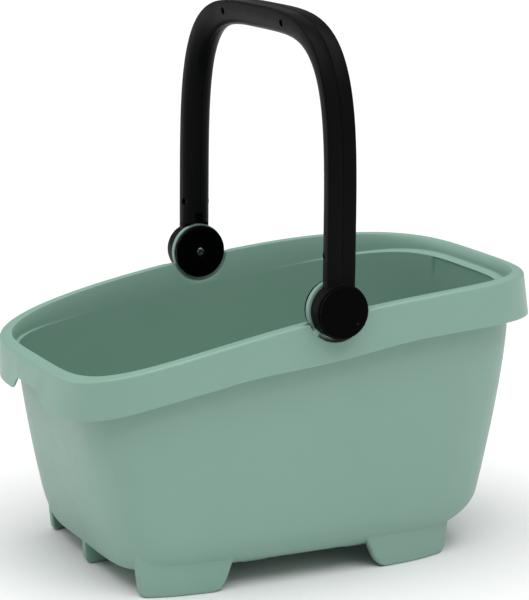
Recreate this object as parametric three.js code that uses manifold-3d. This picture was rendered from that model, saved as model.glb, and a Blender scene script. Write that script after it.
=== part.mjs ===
// A moulded plastic carry basket with a sloping rim, a deep skirt under the rim, five moulded
// feet and one arched handle that swings on two hubs. Units are millimetres, +Z is up, +X is the
// high end of the basket, and the handle turns about an axis along Y.
import * as THREE from 'three';
import { mergeVertices } from 'three/addons/utils/BufferGeometryUtils.js';
import Module from 'manifold-3d';

// ---------------------------------------------------------------- driving dimensions

const GAP = 0.3;                  // clearance between pieces that touch

// Outlines seen from above. Lengths and widths are half sizes measured from the middle, and
// squareness is the superellipse exponent of the low end.
const HIGH_END_SQUARENESS = 3.72;
const RIM_OUTER = { length: 225, highLength: 226, width: 148.7, squareness: 4.65 };
const RIM_INNER = { length: 215.5, highLength: 217.5, width: 138.5, squareness: 4.65 };
const SKIRT_EDGE = { length: 229.3, highLength: 230.8, width: 152.2, squareness: 3.9 };
const LEDGE_EDGE = { length: 213, highLength: 213, width: 136.1, squareness: 4.65 };
const BODY_TOP = { z: 205, length: 213, width: 138.5, squareness: 4.65 };
const BODY_FOOT = { z: 50, length: 186, highLength: 184.5, width: 131.5, squareness: 6 };

const RIM_CENTRE_HEIGHT = 238;    // top of the rim above the floor, half way along
const RIM_ROUND = 3.2;            // round of the rim's outer edge
const RIM_THICKNESS = 3;
const WALL = 2.5;
const SKIRT_WALL = 2.6;
const SKIRT_DROP = 34.2;          // height of the skirt half way along
const SKIRT_DROP_SLOPE = 3.1;     // and how much it grows towards the high end
const SKIRT_DROP_CURVE = 1.2;     // and towards both ends
// The raised middle of the skirt's lower edge at the low end: heights and half widths.
const END_NOTCH = { top: 172.5, low: 158.5, halfTop: 18, halfFoot: 44, depth: 18 };
const LEDGE_CENTRE_HEIGHT = 210.5;
const LEDGE_SLOPE = 0.129;
const HIGH_END_THICKENING = 5.5;  // extra wall under the ledge at the high end
const BODY_BOW = 1.4;             // the walls curve in faster towards the bottom
const TOP_DRAFT = 0.15;           // share of that draft which goes on above the body's top
const STRAIGHT_WALL_TOP = 150;    // the tub is level up to here, then its top follows the rim
const UNDERSIDE = 20;             // the tub's underside stands this far above the floor
// The round between walls and underside: its height, and its reach at the ends and sides.
const BOTTOM_ROUND = { height: 30, lowEnd: 1.5, highEnd: 37, side: 22 };
const FLOOR_WALL = 2.8;

// Handle and its hubs.
const PIVOT_X = -2.2;             // the pivots sit a little towards the low end
const PIVOT_HEIGHT = 244;
const HANDLE_LEAN = 0.6;          // degrees that the handle leans towards the high end at rest
const HUB_RADIUS = 23.8;
const CAP_RADIUS = 22.7;
const DISC_RADIUS = 24.6;
const EAR_RADIUS = 24.4;          // the basket's lug between disc and hub
// Faces of the stack of pieces on the pivot, as distances from the middle of the basket.
const HUB_FACES = { disc: 135, earIn: 140.2, earOut: 144.6, knuckle: 145.6, knuckleOut: 159.5, cap: 162.8 };
const POCKET_RADIUS = 28;         // the hub turns in this pocket of the skirt
const COLLAR_RADIUS = 30.6;
const DISC_RECESS = { radius: 25.4, lip: 31, lipFace: 136.2 };
const HANDLE_HALF_SPAN = 156.6;   // to the flat outer face of each leg
const HANDLE_TOP = 490;
const ARCH_START = 296.7;         // height where the straight legs end
const ARCH_SQUARENESS = 3.65;
const LEG_JOINT = 271;            // height of the joint between the leg shells and the hubs
const GRIP_HALF_WIDTH = 13.3;
const GRIP_DEPTH = 20;
const GRIP_WALL = 2.6;
const TONGUE = { halfWidth: 5.4, depth: 9.6, inset: 3.2, length: 28 };
// The screws that hold the handle's two halves together, and the bosses that they go through.
const HANDLE_SCREW = { radius: 1.6, headRadius: 3, headHeight: 2, head: -11, tip: 10 };
const BOSS = { radius: 4.6, end: 11.2 };
const HANDLE_SCREW_DEPTH = 10;    // the screws sit this far in from the outer face
const TOP_SCREW_OFFSET = 60;      // distance of the two top screws from the middle
const LEG_SCREW_HEIGHT = 291;

const AROUND = 60;                // facets around the basket
const ROUND = 24;                 // facets around a small round piece
const WIDE_ROUND = 36;            // and around a hub
const SLIM_ROUND = 12;            // and around a screw or its boss

// ---------------------------------------------------------------- finishes

const finish = (color, roughness, metalness = 0) =>
  new THREE.MeshStandardMaterial({ color, roughness, metalness });
const GREEN = finish(0x7fa392, 0.5);
const SATIN_BLACK = finish(0x1b1c1d, 0.45);
const GLOSS_BLACK = finish(0x0d0d0e, 0.15);
const PALE_POLYMER = finish(0xd8d6cc, 0.4);
const STEEL = finish(0xc4c6c8, 0.25, 1);
const BRASS = finish(0xb89a5a, 0.35, 1);

// ---------------------------------------------------------------- solids

const wasm = await Module();
wasm.setup();

/** A closed geometry as a solid that can be joined and cut. */
function solid(geometry) {
  const bare = geometry.index ? geometry.toNonIndexed() : geometry.clone();
  bare.deleteAttribute('normal');
  bare.deleteAttribute('uv');
  const merged = mergeVertices(bare, 1e-4);
  return new wasm.Manifold(new wasm.Mesh({
    numProp: 3,
    vertProperties: new Float32Array(merged.attributes.position.array),
    triVerts: new Uint32Array(keepRealTriangles(merged.index.array)),
  }));
}

/** Leaves out triangles that have collapsed to a line. */
function keepRealTriangles(index) {
  const kept = [];
  for (let i = 0; i < index.length; i += 3) {
    const [a, b, c] = [index[i], index[i + 1], index[i + 2]];
    if (a !== b && b !== c && c !== a) kept.push(a, b, c);
  }
  return kept;
}

/** A solid as a geometry for a mesh. */
function geometryOf(body) {
  const mesh = body.getMesh();
  const geometry = new THREE.BufferGeometry();
  geometry.setAttribute('position', new THREE.BufferAttribute(mesh.vertProperties, 3));
  geometry.setIndex(new THREE.BufferAttribute(mesh.triVerts, 1));
  return geometry;
}

/** A closed skin through rings of points. Its first and last rings are flat and are filled in. */
function skin(rings) {
  const count = rings[0].length;
  const points = rings.flat();
  const index = [];
  for (let r = 0; r + 1 < rings.length; r += 1) {
    for (let i = 0; i < count; i += 1) {
      const j = (i + 1) % count;
      const [a, b, c, d] = [r * count + i, r * count + j, (r + 1) * count + j, (r + 1) * count + i];
      index.push(a, b, c, a, c, d);
    }
  }
  const last = (rings.length - 1) * count;
  for (let i = 1; i + 1 < count; i += 1) {
    index.push(0, i + 1, i);
    index.push(last, last + i, last + i + 1);
  }
  const geometry = new THREE.BufferGeometry().setFromPoints(points);
  geometry.setIndex(index);
  return geometry;
}

/** A round piece about the Y axis from [radius, y] pairs that start and end on the axis. */
function turned(profile, segments = ROUND) {
  const rising = profile[0][1] <= profile.at(-1)[1] ? profile : profile.toReversed();
  return new THREE.LatheGeometry(rising.map(([r, y]) => new THREE.Vector2(r, y)), segments);
}

/** A plain round bar along Y between two places. */
function bar(radius, from, to, segments = ROUND) {
  return turned([[0, from], [radius, from], [radius, to], [0, to]], segments);
}

/** A ring along Y. */
function ring(inner, outer, from, to) {
  return turned([[inner, from], [outer, from], [outer, to], [inner, to], [inner, from]]);
}

/** A block between two corners. */
function block(low, high) {
  const size = high.map((value, i) => value - low[i]);
  const geometry = new THREE.BoxGeometry(...size);
  return geometry.translate(...low.map((value, i) => value + size[i] / 2));
}

// ---------------------------------------------------------------- basket surfaces

/** Height of the rim's top along the basket: an arch that rises towards the high end. */
function rimHeight(x) {
  const u = x / RIM_OUTER.length;
  return RIM_CENTRE_HEIGHT + 29.6 * u - 17.1 * u ** 2 - 0.6 * u ** 3 - 0.9 * u ** 4;
}

const underRim = (x) => rimHeight(x) - RIM_THICKNESS;

/** Height of the skirt's lower edge. */
function skirtFoot(x) {
  const u = x / RIM_OUTER.length;
  return rimHeight(x) - SKIRT_DROP - SKIRT_DROP_SLOPE * u - SKIRT_DROP_CURVE * u ** 2;
}

const ledgeHeight = (x) => LEDGE_CENTRE_HEIGHT + LEDGE_SLOPE * x;

/** An outline part way from one to another, moved outwards by an offset. */
function outline(from, to, share, offset = 0) {
  const mix = (key) => THREE.MathUtils.lerp(from[key] ?? from.length, to[key] ?? to.length, share);
  return {
    length: mix('length') + offset,
    highLength: mix('highLength') + offset,
    width: mix('width') + offset,
    squareness: mix('squareness'),
  };
}

/** The tub's outer wall at a height. */
function tubSize(z) {
  const drop = (BODY_TOP.z - z) / (BODY_TOP.z - BODY_FOOT.z);
  const draft = drop > 0 ? drop ** BODY_BOW : drop * TOP_DRAFT;
  const t = Math.min(1, Math.max(0, (BODY_FOOT.z - z) / BOTTOM_ROUND.height));
  const round = 1 - Math.sqrt(1 - t * t);
  const size = outline(BODY_TOP, BODY_FOOT, draft);
  size.length -= round * BOTTOM_ROUND.lowEnd;
  size.highLength -= round * BOTTOM_ROUND.highEnd;
  size.width -= round * BOTTOM_ROUND.side;
  return size;
}

/** The tub's inner wall at a height: the high end is thicker near its ledge. */
function tubInside(z) {
  const outer = tubSize(Math.max(z - FLOOR_WALL, UNDERSIDE));
  const size = outline(outer, outer, 0, -WALL);
  size.highLength -= HIGH_END_THICKENING * THREE.MathUtils.smoothstep(z, 60, 230);
  return size;
}

/** One point of a plan outline; angle 0 points at the high end. */
function planPoint(angle, size) {
  const [c, s] = [Math.cos(angle), Math.sin(angle)];
  const power = 2 / (c > 0 ? HIGH_END_SQUARENESS : size.squareness);
  const length = c > 0 ? size.highLength : size.length;
  return [Math.sign(c) * length * Math.abs(c) ** power, Math.sign(s) * size.width * Math.abs(s) ** power];
}

/** A ring round the basket; its outline may depend on the height, and the height on x. */
function basketRing(sizeAt, heightAt) {
  const points = [];
  for (let i = 0; i < AROUND; i += 1) {
    const angle = 2 * Math.PI * (i + 0.5) / AROUND;
    let [x, y] = planPoint(angle, sizeAt(heightAt(0)));
    for (let pass = 0; pass < 3; pass += 1) [x, y] = planPoint(angle, sizeAt(heightAt(x)));
    points.push(new THREE.Vector3(x, y, heightAt(x)));
  }
  return points;
}

const fixedRing = (size, heightAt) => basketRing(() => size, heightAt);

/** A ring of the skirt's outer face: share 0 is at the rim and 1 at the lower edge. */
const skirtRing = (share, offset, heightAt) =>
  fixedRing(outline(RIM_OUTER, SKIRT_EDGE, share, offset), heightAt);

/** A ring of the rim's inner edge, moved outwards by an offset. */
const innerRimRing = (offset, heightAt) =>
  fixedRing(outline(RIM_INNER, RIM_INNER, 0, offset), heightAt);

/** Heights through the level part of the tub, from the floor up. */
const ROUND_STEPS = [0, 0.12, 0.35, 0.65, 1];
const roundHeight = (share) => UNDERSIDE + BOTTOM_ROUND.height * share;
const LEVEL_STEPS = [80, 115, STRAIGHT_WALL_TOP];

/** The wall between the level part and a sloping line above it. */
const between = (topAt, share) => (x) => STRAIGHT_WALL_TOP + share * (topAt(x) - STRAIGHT_WALL_TOP);

function tubOutside() {
  return [
    ...ROUND_STEPS.map((share) => basketRing(tubSize, () => roundHeight(share))),
    ...LEVEL_STEPS.map((z) => basketRing(tubSize, () => z)),
    basketRing(tubSize, between(ledgeHeight, 0.5)),
    basketRing(tubSize, ledgeHeight),
    innerRimRing(WALL, underRim),
  ];
}

/** The outside of the rim from the skirt's lower edge up, with its rounded edge. */
const skirtOutside = () => [
  skirtRing(1, 0, skirtFoot),
  skirtRing(0.1, 0, (x) => rimHeight(x) - RIM_ROUND),
  skirtRing(0, -0.25 * RIM_ROUND, (x) => rimHeight(x) - 0.25 * RIM_ROUND),
  skirtRing(0, -RIM_ROUND, rimHeight),
];

const skirtInside = () => [skirtRing(0, -SKIRT_WALL, underRim), skirtRing(1, -SKIRT_WALL, skirtFoot)];

const rimInnerEdge = () => [
  innerRimRing(0.5 * RIM_THICKNESS, rimHeight),
  innerRimRing(0, (x) => rimHeight(x) - 0.5 * RIM_THICKNESS),
];

function tubInsideRings() {
  return [
    fixedRing(LEDGE_EDGE, ledgeHeight),
    basketRing(tubInside, ledgeHeight),
    basketRing(tubInside, between(ledgeHeight, 0.5)),
    ...LEVEL_STEPS.toReversed().map((z) => basketRing(tubInside, () => z)),
    ...ROUND_STEPS.toReversed().map((share) => basketRing(tubInside, () => roundHeight(share) + FLOOR_WALL)),
  ];
}

/** Everything inside the tub, as a solid to cut with. */
function tubHollow() {
  const above = fixedRing(LEDGE_EDGE, () => PIVOT_HEIGHT + COLLAR_RADIUS);
  return solid(skin([...tubInsideRings().toReversed(), above]));
}

/** Everything under the rim's top and inside the skirt's outer face. */
function rimEnvelope() {
  return solid(skin([skirtRing(1, 0, () => STRAIGHT_WALL_TOP), ...skirtOutside()]));
}

// ---------------------------------------------------------------- feet

const FOOT_ROOT = 46;             // the feet run this far up into the tub's rounded edge
const FOOT_THICKNESS = 10;
const FOOT_FACE = { length: 202, highLength: 163, width: 124, squareness: 4.65 };
// Each kind of foot seen from the side: its ends at the root and on the floor, and its two corners.
const LOW_FEET = { root: [-173, -80], floor: [-168, -97], round: [6, 12] };
const HIGH_FEET = { root: [33, 140], floor: [53.5, 129.5], round: [11, 9] };
const END_RIB = { root: [-180, -100], floor: [-176.5, -112], round: [8, 8] };
const END_RIB_HALF_WIDTH = 3.5;
// Low pads under the long sides: middle of each along the basket, and of the row across it.
const PAD = { places: [-59, 40], row: 99, halfLength: 13, halfWidth: 7, depth: 2.5 };

/** A foot's outline seen from the side. */
function footOutline({ root, floor, round }) {
  const at = (i, z) => floor[i] + (root[i] - floor[i]) * z / FOOT_ROOT;
  const shape = new THREE.Shape();
  const [low, high] = round;
  shape.moveTo(at(0, FOOT_ROOT), FOOT_ROOT);
  shape.lineTo(at(0, low), low);
  shape.quadraticCurveTo(floor[0], 0, floor[0] + low, 0);
  shape.lineTo(floor[1] - high, 0);
  shape.quadraticCurveTo(floor[1], 0, at(1, high), high);
  shape.lineTo(at(1, FOOT_ROOT), FOOT_ROOT);
  return shape;
}

/** An outline seen from the side, drawn across the basket to a half width on each side. */
function acrossBasket(outline, halfWidth) {
  const geometry = new THREE.ExtrudeGeometry(outline, {
    depth: 2 * halfWidth, bevelEnabled: false, curveSegments: 4,
  });
  return solid(geometry.rotateX(Math.PI / 2).translate(0, halfWidth, 0));
}

/** A level-sided solid over a plan outline, from under the floor to the top of the feet. */
function planPrism(size) {
  return solid(skin([-1, FOOT_ROOT + 1].map((z) => fixedRing(size, () => z))));
}

/** The feet under the long sides follow the plan; a single rib stands under the low end. */
function feet() {
  const inner = outline(FOOT_FACE, FOOT_FACE, 0, -FOOT_THICKNESS);
  const band = planPrism(FOOT_FACE).intersect(planPrism(tubSize(FOOT_ROOT))).subtract(planPrism(inner));
  const sides = [LOW_FEET, HIGH_FEET].map((foot) =>
    acrossBasket(footOutline(foot), RIM_OUTER.width).intersect(band));
  return [...sides, acrossBasket(footOutline(END_RIB), END_RIB_HALF_WIDTH)];
}

/** Low pads under the long sides, just clear of the floor. */
function padSolids() {
  const { places, row, halfLength, halfWidth, depth } = PAD;
  return places.flatMap((x) => [-1, 1].map((side) => solid(block(
    [x - halfLength, side * row - halfWidth, UNDERSIDE - depth],
    [x + halfLength, side * row + halfWidth, UNDERSIDE + 1],
  ))));
}

// ---------------------------------------------------------------- basket

/** The raised part of the skirt's lower edge at the low end, as a solid to cut with. */
function endNotch() {
  const { top, low, halfTop, halfFoot, depth } = END_NOTCH;
  const bend = (halfFoot - halfTop) / 2;
  const shape = new THREE.Shape();
  shape.moveTo(-halfFoot, low);
  shape.bezierCurveTo(-halfFoot + bend, low, -halfTop - bend, top, -halfTop, top);
  shape.lineTo(halfTop, top);
  shape.bezierCurveTo(halfTop + bend, top, halfFoot - bend, low, halfFoot, low);
  shape.lineTo(halfFoot, low - 5);
  shape.lineTo(-halfFoot, low - 5);
  const geometry = new THREE.ExtrudeGeometry(shape, { depth, bevelEnabled: false, curveSegments: 6 });
  geometry.rotateX(Math.PI / 2);
  geometry.rotateZ(Math.PI / 2);
  return solid(geometry.translate(-SKIRT_EDGE.length - depth / 2, 0, 0));
}

const BEYOND_SKIRT = SKIRT_EDGE.width + 5;   // clear of the skirt's outer face
const RECESS_DEPTH = 8;

/** The lug and collar that carry a hub, and the recess, pocket and bore cut for it. */
function addHubSeat(shell, envelope, side) {
  const along = (from, to) => (side > 0 ? [from, to] : [-to, -from]);
  const place = (geometry) => solid(geometry.translate(PIVOT_X, 0, PIVOT_HEIGHT));
  const { earIn, earOut } = HUB_FACES;
  const { radius, lip, lipFace } = DISC_RECESS;
  const ear = place(bar(EAR_RADIUS, ...along(earIn, earOut), WIDE_ROUND));
  const collar = place(bar(COLLAR_RADIUS, ...along(earIn, BEYOND_SKIRT), WIDE_ROUND)).intersect(envelope);
  const pocket = place(bar(POCKET_RADIUS, ...along(earOut, BEYOND_SKIRT), WIDE_ROUND));
  const start = side * (lipFace - RECESS_DEPTH);
  const recess = place(turned([
    [0, start], [lip, start], [lip, side * lipFace], [radius, side * earIn], [0, side * earIn],
  ], WIDE_ROUND));
  const bore = place(bar(BUSH_RADIUS + GAP, ...along(lipFace, BEYOND_SKIRT)));
  return shell.add(collar).subtract(recess).subtract(pocket).add(ear).subtract(bore);
}

function basketShell() {
  const hollow = tubHollow();
  const envelope = rimEnvelope();
  const around = [
    ...tubOutside(), ...skirtInside(), ...skirtOutside(), ...rimInnerEdge(), ...tubInsideRings(),
  ];
  let shell = solid(skin(around));
  for (const extra of [...feet(), ...padSolids()]) shell = shell.add(extra.subtract(hollow));
  for (const side of [-1, 1]) shell = addHubSeat(shell, envelope, side);
  return geometryOf(shell.subtract(endNotch()));
}

// ---------------------------------------------------------------- hub pieces, drawn for the +Y side

const BUSH_RADIUS = 5.4;
const WASHER = { inner: 6.2, outer: 13 };
// The pivot screw: its flat head sits in a recess of the disc, and its tip is in the knuckle.
const PIVOT_SCREW = { radius: 2.2, headRadius: 3.8, headHeight: 1.6, recess: 1.7, tip: 152, hole: 153 };
const INSERT = { radius: 4, length: 9 };
// The round boss on the back of a cap fits a recess of the knuckle.
const CAP_BOSS = { radius: 7, depth: 2 };

function pivotBush() {
  const { earIn, earOut } = HUB_FACES;
  const margin = GAP * 2 / 3;
  return ring(PIVOT_SCREW.radius + GAP, BUSH_RADIUS, earIn + margin, earOut - margin);
}

function frictionWasher() {
  return ring(WASHER.inner, WASHER.outer, HUB_FACES.earOut + GAP, HUB_FACES.knuckle - GAP);
}

/** The smooth domed disc on the inside of the basket, with a recess for the screw's head. */
function innerDisc() {
  const { disc, earIn } = HUB_FACES;
  const { radius, headRadius, recess } = PIVOT_SCREW;
  const back = earIn - GAP;
  const [bore, opening] = [radius + GAP, headRadius + 0.8];
  return turned([
    [bore, disc + recess], [opening, disc + recess], [opening, disc], [DISC_RADIUS - 4, disc + 0.3],
    [DISC_RADIUS - 1.2, disc + 0.9], [DISC_RADIUS, back - 1], [DISC_RADIUS, back], [bore, back],
    [bore, disc + recess],
  ], WIDE_ROUND);
}

function pivotScrew() {
  const { radius, headRadius, headHeight, recess, tip } = PIVOT_SCREW;
  const seat = HUB_FACES.disc + recess - GAP;
  const top = seat - headHeight;
  return turned([
    [0, top], [headRadius - 1.2, top], [headRadius, top + 1], [headRadius, seat], [radius, seat],
    [radius, tip - 1], [radius - 0.8, tip], [0, tip],
  ], SLIM_ROUND);
}

function threadedInsert() {
  const start = HUB_FACES.knuckle + 1;
  return ring(PIVOT_SCREW.radius + GAP, INSERT.radius, start, start + INSERT.length);
}

function hubCap() {
  const { knuckleOut, cap } = HUB_FACES;
  const { radius, depth } = CAP_BOSS;
  const back = knuckleOut + GAP;
  return turned([
    [0, knuckleOut - depth], [radius, knuckleOut - depth], [radius, back], [CAP_RADIUS - 0.5, back],
    [CAP_RADIUS, back + 0.5], [CAP_RADIUS, cap - 1], [CAP_RADIUS - 1, cap], [0, cap],
  ], WIDE_ROUND);
}

/** The handle's section: flat on the outside, rounded towards the basket. */
const GRIP_OUTLINE = [
  [0, 0], [11.4, 0], [GRIP_HALF_WIDTH, -1.6], [GRIP_HALF_WIDTH, -7], [11.7, -12],
  [8.6, -16.4], [4.5, -19.2], [0, -GRIP_DEPTH],
];

function gripShape() {
  const right = GRIP_OUTLINE.map(([x, r]) => new THREE.Vector2(x, r));
  const left = GRIP_OUTLINE.slice(1, -1).toReversed().map(([x, r]) => new THREE.Vector2(-x, r));
  return new THREE.Shape([...right, ...left]);
}

/** The hub's casting: a drum with the root of the leg and a tongue that goes up inside it. */
function hubKnuckle() {
  const { earOut, knuckle, knuckleOut } = HUB_FACES;
  const reach = LEG_JOINT - PIVOT_HEIGHT;
  const stub = new THREE.ExtrudeGeometry(gripShape(), {
    depth: reach - GAP / 2, bevelEnabled: false,
  }).translate(0, HANDLE_HALF_SPAN, 0);
  const earRoom = bar(DISC_RADIUS + 0.8, knuckle - GRIP_DEPTH, knuckle, WIDE_ROUND);
  const outside = HANDLE_HALF_SPAN - TONGUE.inset;
  const tongue = block([-TONGUE.halfWidth, outside - TONGUE.depth, reach - 1],
    [TONGUE.halfWidth, outside, reach + TONGUE.length]);
  const screwHole = turnToX(bar(HANDLE_SCREW.radius + GAP, -GRIP_DEPTH, GRIP_DEPTH, SLIM_ROUND))
    .translate(0, HANDLE_HALF_SPAN - HANDLE_SCREW_DEPTH, LEG_SCREW_HEIGHT - PIVOT_HEIGHT);
  const holes = [
    bar(INSERT.radius + GAP, earOut, knuckle + 1 + INSERT.length + GAP),
    bar(PIVOT_SCREW.radius + GAP, knuckle, PIVOT_SCREW.hole),
    bar(CAP_BOSS.radius + GAP, knuckleOut - CAP_BOSS.depth - GAP, HUB_FACES.cap),
    screwHole,
  ];
  let knuckleBody = solid(bar(HUB_RADIUS, knuckle, knuckleOut, WIDE_ROUND));
  knuckleBody = knuckleBody.add(solid(stub).subtract(solid(earRoom))).add(solid(tongue));
  for (const hole of holes) knuckleBody = knuckleBody.subtract(solid(hole));
  return geometryOf(knuckleBody);
}

// ---------------------------------------------------------------- handle

/** Turns a piece drawn along Y so that it lies along X. */
const turnToX = (geometry) => geometry.rotateZ(-Math.PI / 2);

/** The line of the handle's outer face, from one leg joint over the top to the other. */
class HandleArch extends THREE.Curve {
  getPoint(t, target = new THREE.Vector3()) {
    const legShare = 0.05;
    const rise = HANDLE_TOP - ARCH_START;
    const start = LEG_JOINT + GAP / 2;
    if (t < legShare || t > 1 - legShare) {
      const share = Math.min(t, 1 - t) / legShare;
      const side = t < 0.5 ? -1 : 1;
      return target.set(0, side * HANDLE_HALF_SPAN, start + share * (ARCH_START - start));
    }
    const angle = Math.PI * (1 - (t - legShare) / (1 - 2 * legShare));
    const power = 2 / ARCH_SQUARENESS;
    const [c, s] = [Math.cos(angle), Math.max(0, Math.sin(angle))];
    const across = Math.sign(c) * HANDLE_HALF_SPAN * Math.abs(c) ** power;
    return target.set(0, across, ARCH_START + rise * s ** power);
  }
}

/** Half of the handle's section as an open channel; side -1 is the front half. */
function channelShape(side) {
  const split = GAP / 2;
  const outside = GRIP_OUTLINE.map(([x, r]) => [Math.max(x, split), r]);
  const inside = [
    [split, GRIP_WALL - GRIP_DEPTH], [4, -16.6], [7, -14.3], [9.3, -10.8],
    [GRIP_HALF_WIDTH - GRIP_WALL, -6.8], [GRIP_HALF_WIDTH - GRIP_WALL, -GRIP_WALL], [split, -GRIP_WALL],
  ];
  // The sweep lays the section's own x outwards from the arch and its y along the basket's X.
  return new THREE.Shape([...outside, ...inside].map(([x, r]) => new THREE.Vector2(r, side * x)));
}

/** The four places where screws hold the two halves together: [y, z, reach of the bosses]. */
function handleScrewPlaces() {
  const share = 1 - (TOP_SCREW_OFFSET / HANDLE_HALF_SPAN) ** ARCH_SQUARENESS;
  const topZ = ARCH_START + (HANDLE_TOP - ARCH_START) * share ** (1 / ARCH_SQUARENESS) - HANDLE_SCREW_DEPTH;
  const legY = HANDLE_HALF_SPAN - HANDLE_SCREW_DEPTH;
  return [
    { name: 'handle_screw_top_near', y: -TOP_SCREW_OFFSET, z: topZ, boss: GAP / 2 },
    { name: 'handle_screw_top_far', y: TOP_SCREW_OFFSET, z: topZ, boss: GAP / 2 },
    { name: 'handle_screw_leg_near', y: -legY, z: LEG_SCREW_HEIGHT, boss: TONGUE.halfWidth + GAP },
    { name: 'handle_screw_leg_far', y: legY, z: LEG_SCREW_HEIGHT, boss: TONGUE.halfWidth + GAP },
  ];
}

function handleShell(side) {
  const sweep = new THREE.ExtrudeGeometry(channelShape(side), {
    steps: 34, extrudePath: new HandleArch(), bevelEnabled: false,
  });
  const { radius, headRadius, headHeight, head, tip } = HANDLE_SCREW;
  let shell = solid(sweep);
  for (const { y, z, boss } of handleScrewPlaces()) {
    const across = (size, from, to) =>
      solid(turnToX(bar(size, Math.min(from, to), Math.max(from, to), SLIM_ROUND)).translate(0, y, z));
    shell = shell.add(across(BOSS.radius, side * boss, side * BOSS.end));
    if (side < 0) {
      shell = shell.subtract(across(headRadius + GAP, -GRIP_DEPTH, head + headHeight + GAP));
      shell = shell.subtract(across(radius + GAP, -GRIP_DEPTH, 0));
    } else {
      shell = shell.subtract(across(radius + GAP, 0, tip + GAP));
    }
  }
  return geometryOf(shell);
}

function handleScrew() {
  const { radius, headRadius, headHeight, head, tip } = HANDLE_SCREW;
  return turnToX(turned([
    [0, head], [headRadius, head], [headRadius, head + headHeight], [radius, head + headHeight],
    [radius, tip - 2], [0.4, tip], [0, tip],
  ], SLIM_ROUND));
}

// ---------------------------------------------------------------- assembly

function mesh(name, geometry, material) {
  const piece = new THREE.Mesh(geometry, material);
  piece.name = name;
  return piece;
}

/** All the pieces of one hub; the near hub is the far one turned half round. */
function hub(prefix, turn) {
  const group = new THREE.Group();
  group.rotation.z = turn;
  group.add(
    mesh(`${prefix}_hub_knuckle`, hubKnuckle(), SATIN_BLACK),
    mesh(`${prefix}_hub_cap`, hubCap(), GLOSS_BLACK),
    mesh(`${prefix}_inner_disc`, innerDisc(), GLOSS_BLACK),
    mesh(`${prefix}_pivot_screw`, pivotScrew(), STEEL),
    mesh(`${prefix}_pivot_bush`, pivotBush(), PALE_POLYMER),
    mesh(`${prefix}_threaded_insert`, threadedInsert(), BRASS),
    mesh(`${prefix}_friction_washer`, frictionWasher(), STEEL),
  );
  return group;
}

const handle = new THREE.Group();
handle.add(hub('near', Math.PI), hub('far', 0));
for (const [name, side] of [['handle_front_shell', -1], ['handle_rear_shell', 1]]) {
  const shell = mesh(name, handleShell(side), SATIN_BLACK);
  shell.position.z = -PIVOT_HEIGHT;
  handle.add(shell);
}
for (const { name, y, z } of handleScrewPlaces()) {
  const screw = mesh(name, handleScrew(), STEEL);
  screw.position.set(0, y, z - PIVOT_HEIGHT);
  handle.add(screw);
}
handle.position.set(PIVOT_X, 0, PIVOT_HEIGHT);
handle.rotation.y = THREE.MathUtils.degToRad(HANDLE_LEAN);

const basket = new THREE.Group();
basket.add(mesh('basket_shell', basketShell(), GREEN), handle);

export default basket;
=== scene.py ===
import math
from collections import namedtuple

import bmesh
import bpy
import numpy as np
from mathutils import Matrix, Vector


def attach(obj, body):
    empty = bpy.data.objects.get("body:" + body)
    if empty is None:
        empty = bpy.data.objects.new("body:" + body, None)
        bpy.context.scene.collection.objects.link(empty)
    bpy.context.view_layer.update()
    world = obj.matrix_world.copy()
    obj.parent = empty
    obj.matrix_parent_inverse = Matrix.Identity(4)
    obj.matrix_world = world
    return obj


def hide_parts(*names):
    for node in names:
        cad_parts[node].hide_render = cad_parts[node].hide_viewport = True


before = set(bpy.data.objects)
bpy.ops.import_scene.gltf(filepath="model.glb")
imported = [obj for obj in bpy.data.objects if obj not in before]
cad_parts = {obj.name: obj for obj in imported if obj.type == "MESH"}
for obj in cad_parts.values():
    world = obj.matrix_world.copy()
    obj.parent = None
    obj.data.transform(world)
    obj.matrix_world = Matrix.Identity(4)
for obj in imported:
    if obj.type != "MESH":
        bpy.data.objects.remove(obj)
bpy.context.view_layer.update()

MM = 0.001

# ---------------------------------------------------------------- driving dimensions

# Outlines seen from above: half sizes, and the squareness of the low end.
Outline = namedtuple("Outline", "low_end high_end side squareness")
HIGH_END_SQUARENESS = 3.72
RIM_OUTER = Outline(225, 226, 148.7, 4.65)
RIM_INNER = Outline(215.5, 217.5, 138.5, 4.65)
SKIRT_EDGE = Outline(228.8, 230.6, 152, 3.9)
LEDGE_REACH = 213                  # to the ledge's edge at each end
BODY_TOP = Outline(213, 213, 138.5, 4.65)
BODY_TOP_Z = 205
BODY_FOOT = Outline(186, 184.5, 131.5, 6)
BODY_FOOT_Z = 50
FOOT_FACE = Outline(202, 163, 124, 4.65)

RIM_CENTRE_HEIGHT = 238
RIM_CURVE = (29.6, -17.1, -0.6, -0.9)    # factors of u, u2, u3 and u4, with u from -1 to 1 along the rim
RIM_FLARE = (0.2, 2.5)             # the wall above the ledge: straight share, and power of the curved share
RIM_ROUND = 3.2
RIM_THICKNESS = 3
WALL = 2.5
SKIRT_WALL = 2.6
SKIRT_DROP = 34.2
SKIRT_DROP_SLOPE = 3.1
SKIRT_DROP_CURVE = 1.2
HUB_DROP = 3.8                     # the skirt's lower edge dips under each hub
HUB_DROP_REACH = (5, 90)           # full up to the first distance, gone at the second
LOW_END_DROP = 2.8                 # and over the last part of the low end
LOW_END_START = 0.6                # which starts at this share of the way there
NOTCH_RISE = 12.5                  # the skirt's lower edge rises in the middle of the low end
NOTCH_HALF_TOP = 20
NOTCH_HALF_FOOT = 38
CORNER_RISE = 3.2                  # and a little more from the corners to the notch
CORNER_HALF_WIDTH = 120
LEDGE_CENTRE_HEIGHT = 210.5
LEDGE_SLOPE = 0.129
LEDGE_FALL = 1.3                   # the ledge slopes down towards the inside by this much
PANEL_DEPTH = 1.1                  # a panel is sunk into the wall under the ledge at the high end
PANEL_HALF_WIDTH = 54
PANEL_EDGE = 1.2                   # width of the slope round it
PANEL_FADE = (70, 140)             # it fades out between these heights
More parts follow.
